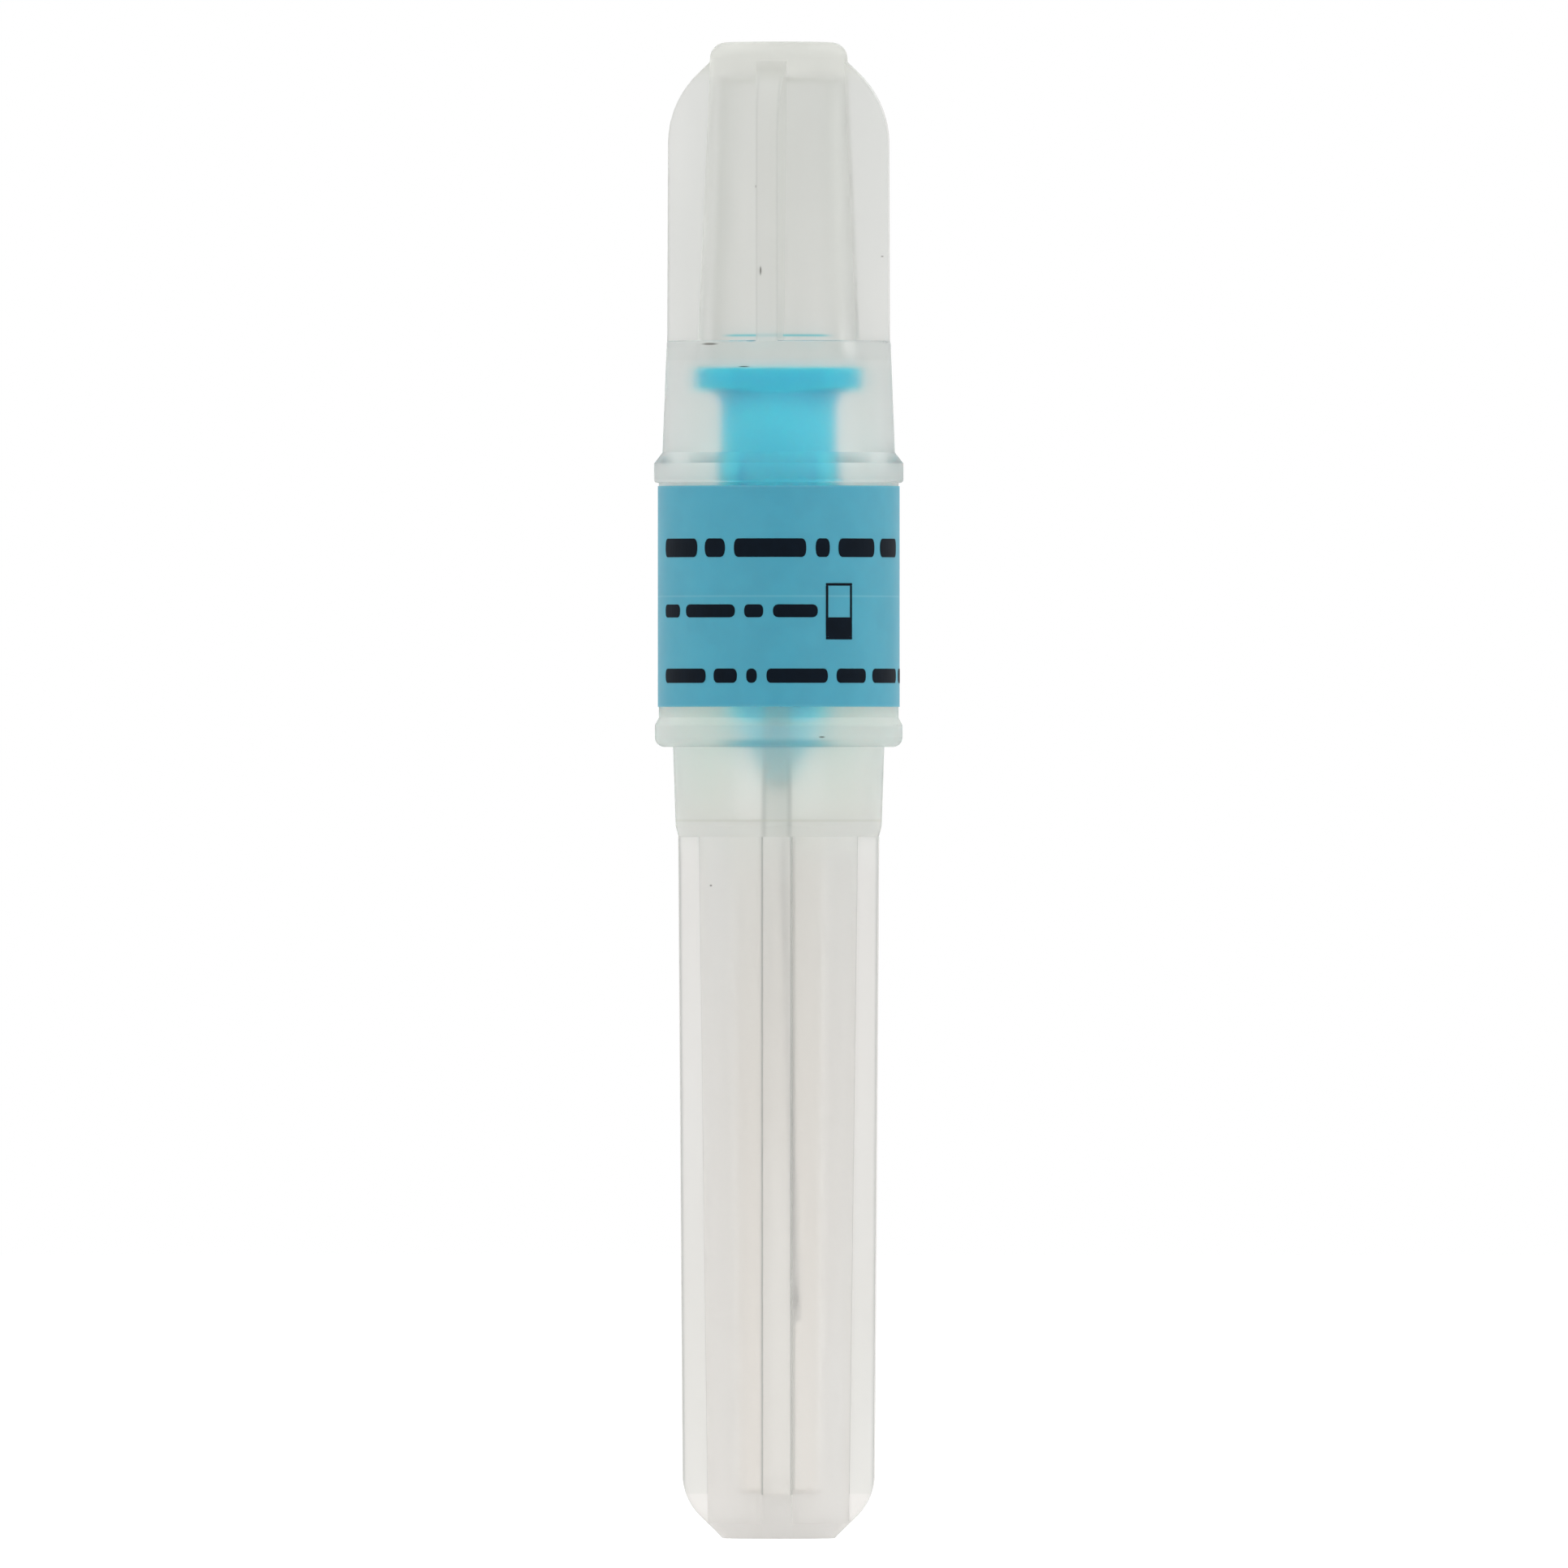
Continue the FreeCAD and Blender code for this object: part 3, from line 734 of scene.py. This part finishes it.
def add_bar(shape, left, bottom, width, height, corner):
    """A flat bar in the XZ plane, with rounded corners."""
    steps = max(1, round(width / STEP_ON_ARC))
    made = bmesh.ops.create_grid(shape, x_segments=steps, y_segments=1, size=0.5)["verts"]
    grow = Matrix.Diagonal((width, height, 1, 1))
    place = Matrix.Translation((left + width / 2, bottom + height / 2, 0))
    bmesh.ops.transform(shape, matrix=place @ grow, verts=made)
    ends = (left, left + width)
    corners = [v for v in made if min(abs(v.co.x - end) for end in ends) < 0.1 * STEP_ON_ARC]
    bmesh.ops.bevel(shape, geom=corners, offset=corner, offset_type="OFFSET", affect="VERTICES",
                    segments=3, profile=0.5, material=-1)


def add_frame(shape, left, bottom, width, height, line):
    """An outlined box from four bars."""
    add_bar(shape, left, bottom, width, line, line / 4)
    add_bar(shape, left, bottom + height - line, width, line, line / 4)
    add_bar(shape, left, bottom + line, line, height - 2 * line, line / 4)
    add_bar(shape, left + width - line, bottom + line, line, height - 2 * line, line / 4)


def wrap_round(shape, radius):
    """Bends the flat marks round the Z axis, with x = 0 at the front of the tube."""
    for vert in shape.verts:
        angle = vert.co.x / radius
        height = vert.co.y
        vert.co = Vector((radius * math.sin(angle), -radius * math.cos(angle), height))


# %% Print three rows
INK = (0.001, 0.003, 0.006)
INK_WORN = (0.0022, 0.0066, 0.0132)
ROW_HEIGHTS = (0.86 * MM, 0.6 * MM, 0.66 * MM)
ROW_BASES = (6.9 * MM, 4.12 * MM, 1.1 * MM)
TOP_ROW = (2.6, 1.1, 3.4, 0.7, 2.2, 1.8)
MIDDLE_ROW = (1.4, 2.8, 0.9, 2.1)
LOWER_ROW = (3.1, 1.2, 0.5, 2.9, 1.7, 2.4, 1.0)
WORD_GAP = 0.45 * MM
WORD_ROUNDING = 0.4
ROW_START = -6.6 * MM
BOX_LEFT = 2.35 * MM
BOX_BASE = 3.1 * MM
BOX_WIDTH = 1.4 * MM
BOX_HEIGHT = 2.6 * MM
BOX_FILLED = 0.9 * MM
BOX_LINE = 0.12 * MM


def make_print():
    shape = bmesh.new()
    for base, height, words in zip(ROW_BASES, ROW_HEIGHTS, (TOP_ROW, MIDDLE_ROW, LOWER_ROW)):
        left = ROW_START
        for word in words:
            add_bar(shape, left, label_low.z + base, word * MM, height, WORD_ROUNDING * height)
            left += word * MM + WORD_GAP
    box_base = label_low.z + BOX_BASE
    add_frame(shape, BOX_LEFT, box_base, BOX_WIDTH, BOX_HEIGHT, BOX_LINE)
    add_bar(shape, BOX_LEFT + BOX_LINE, box_base + BOX_LINE, BOX_WIDTH - 2 * BOX_LINE,
            BOX_FILLED, BOX_LINE / 4)
    wrap_round(shape, label_radius + INK_THICKNESS / 2)
    bmesh.ops.recalc_face_normals(shape, faces=shape.faces)
    bmesh.ops.solidify(shape, geom=shape.faces[:], thickness=INK_THICKNESS)
    mesh = bpy.data.meshes.new("label_print")
    shape.to_mesh(mesh)
    shape.free()
    piece = bpy.data.objects.new("label_print", mesh)
    bpy.context.scene.collection.objects.link(piece)
    return piece


def make_ink():
    material, tree, shader = new_material("label_ink", Roughness=0.5, Specular_IOR_Level=0.05)
    cloud, skin = clouds_in(tree, cloud_scale=1800.0, skin_scale=9000.0)
    colour = blend(tree, cloud, INK, INK_WORN)
    tree.links.new(colour, shader.inputs["Base Color"])
    bump = add(tree, "ShaderNodeBump", Strength=0.1, Distance=0.004 * MM, Height=skin)
    tree.links.new(bump.outputs[0], shader.inputs["Normal"])
    return material


label_print = make_print()
label_print.data.materials.append(make_ink())
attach(label_print, BODY)
print("label print:", len(label_print.data.polygons), "faces")

# %% [markdown]
# ## Floor, backdrop and light
#
# The tube is photographed against plain white. The floor and the world therefore show white to
# the camera, and to rays that pass through the plastic or glance off it, while the light that
# falls on the object stays at a plain level. Large soft lamps at the left and right shape the
# round walls.

# %% How much of the white background a ray sees
GLOSS_SHARE = 0.6
THROUGH_SHARE = 0.42
FLOOR_THROUGH_SHARE = 0.2


def background_share(tree, through_share):
    """1 for the camera, and less for rays that glance off the object or come through it."""
    light = tree.nodes.new("ShaderNodeLightPath")
    glanced = calculate(tree, "MULTIPLY", light.outputs["Is Glossy Ray"], GLOSS_SHARE)
    through = calculate(tree, "MULTIPLY", light.outputs["Is Transmission Ray"], through_share)
    share = calculate(tree, "MAXIMUM", glanced, through)
    return calculate(tree, "MAXIMUM", share, light.outputs["Is Camera Ray"])


# %% Floor
FLOOR_HALF = 1.2
FLOOR_GREY = (0.76, 0.76, 0.76)
FLOOR_GLOW = 0.48


def make_floor():
    shape = bmesh.new()
    bmesh.ops.create_grid(shape, x_segments=1, y_segments=1, size=FLOOR_HALF)
    mesh = bpy.data.meshes.new("floor")
    shape.to_mesh(mesh)
    shape.free()
    floor = bpy.data.objects.new("floor", mesh)
    bpy.context.scene.collection.objects.link(floor)
    material, tree, shader = new_material("studio_floor", Roughness=0.9)
    shader.inputs["Base Color"].default_value = (*FLOOR_GREY, 1)
    shader.inputs["Specular IOR Level"].default_value = 0.0
    shader.inputs["Emission Color"].default_value = (1, 1, 1, 1)
    glow = calculate(tree, "MULTIPLY", background_share(tree, FLOOR_THROUGH_SHARE), FLOOR_GLOW)
    tree.links.new(glow, shader.inputs["Emission Strength"])
    mesh.materials.append(material)
    return floor


floor = make_floor()
print("floor", 2 * FLOOR_HALF, "m wide")

# %% World
WORLD_STRENGTH = 0.62


def make_world():
    world = bpy.data.worlds.new("studio")
    bpy.context.scene.world = world
    world.use_nodes = True
    tree = world.node_tree
    background = tree.nodes["Background"]
    background.inputs["Color"].default_value = (1, 1, 1, 1)
    share = background_share(tree, THROUGH_SHARE)
    extra = calculate(tree, "MULTIPLY", share, 1.0 - WORLD_STRENGTH)
    strength = calculate(tree, "ADD", extra, WORLD_STRENGTH)
    tree.links.new(strength, background.inputs["Strength"])
    return world


make_world()
print("world strength", WORLD_STRENGTH)

# %% Lamps
def make_lamp(name, place, size, power):
    """A square area lamp that looks at the middle of the tube."""
    data = bpy.data.lights.new(name, "AREA")
    data.size = size
    data.energy = power
    lamp = bpy.data.objects.new(name, data)
    bpy.context.scene.collection.objects.link(lamp)
    lamp.location = place
    aim = Vector((0, 0, middle_z)) - lamp.location
    lamp.rotation_euler = aim.to_track_quat("-Z", "Y").to_euler()
    return lamp


make_lamp("key_left", place=(-0.5, -0.3, 0.3), size=1.6, power=6.1)
make_lamp("fill_right", place=(0.55, -0.25, 0.25), size=1.6, power=7.4)

# %% [markdown]
# ## Camera
#
# The photograph was taken level with the middle of the tube, from far enough that the far and
# near edges hardly differ, so the lens is long. The picture is 1932 pixels square, and one pixel
# is 0.0375 mm at the tube. The tube stands a few pixels left of the middle, and is turned a
# little, so the camera stands aside by that much.

# %% Place the camera
PICTURE = 1932
PIXEL = 0.0375 * MM
SENSOR_WIDTH = 36.0
CAMERA_DISTANCE = 2.0
CAMERA_TURN = math.radians(1.2)
AXIS_PIXEL = 959.5
FOOT_PIXEL = 1895


def make_camera():
    data = bpy.data.cameras.new("camera")
    data.sensor_width = SENSOR_WIDTH
    data.lens = SENSOR_WIDTH * CAMERA_DISTANCE / (PICTURE * PIXEL)
    data.clip_start = 0.01
    camera = bpy.data.objects.new("camera", data)
    bpy.context.scene.collection.objects.link(camera)
    back = Vector((math.sin(CAMERA_TURN), -math.cos(CAMERA_TURN), 0))
    right = Vector((math.cos(CAMERA_TURN), math.sin(CAMERA_TURN), 0))
    aside = (PICTURE / 2 - AXIS_PIXEL) * PIXEL
    height = (FOOT_PIXEL - PICTURE / 2) * PIXEL
    camera.location = back * CAMERA_DISTANCE + right * aside + Vector((0, 0, height))
    camera.rotation_euler = (math.pi / 2, 0, CAMERA_TURN)
    bpy.context.scene.camera = camera
    return camera


camera = make_camera()
bpy.context.scene.view_settings.view_transform = "Standard"
print("lens", round(camera.data.lens, 1), "mm at", CAMERA_DISTANCE, "m")
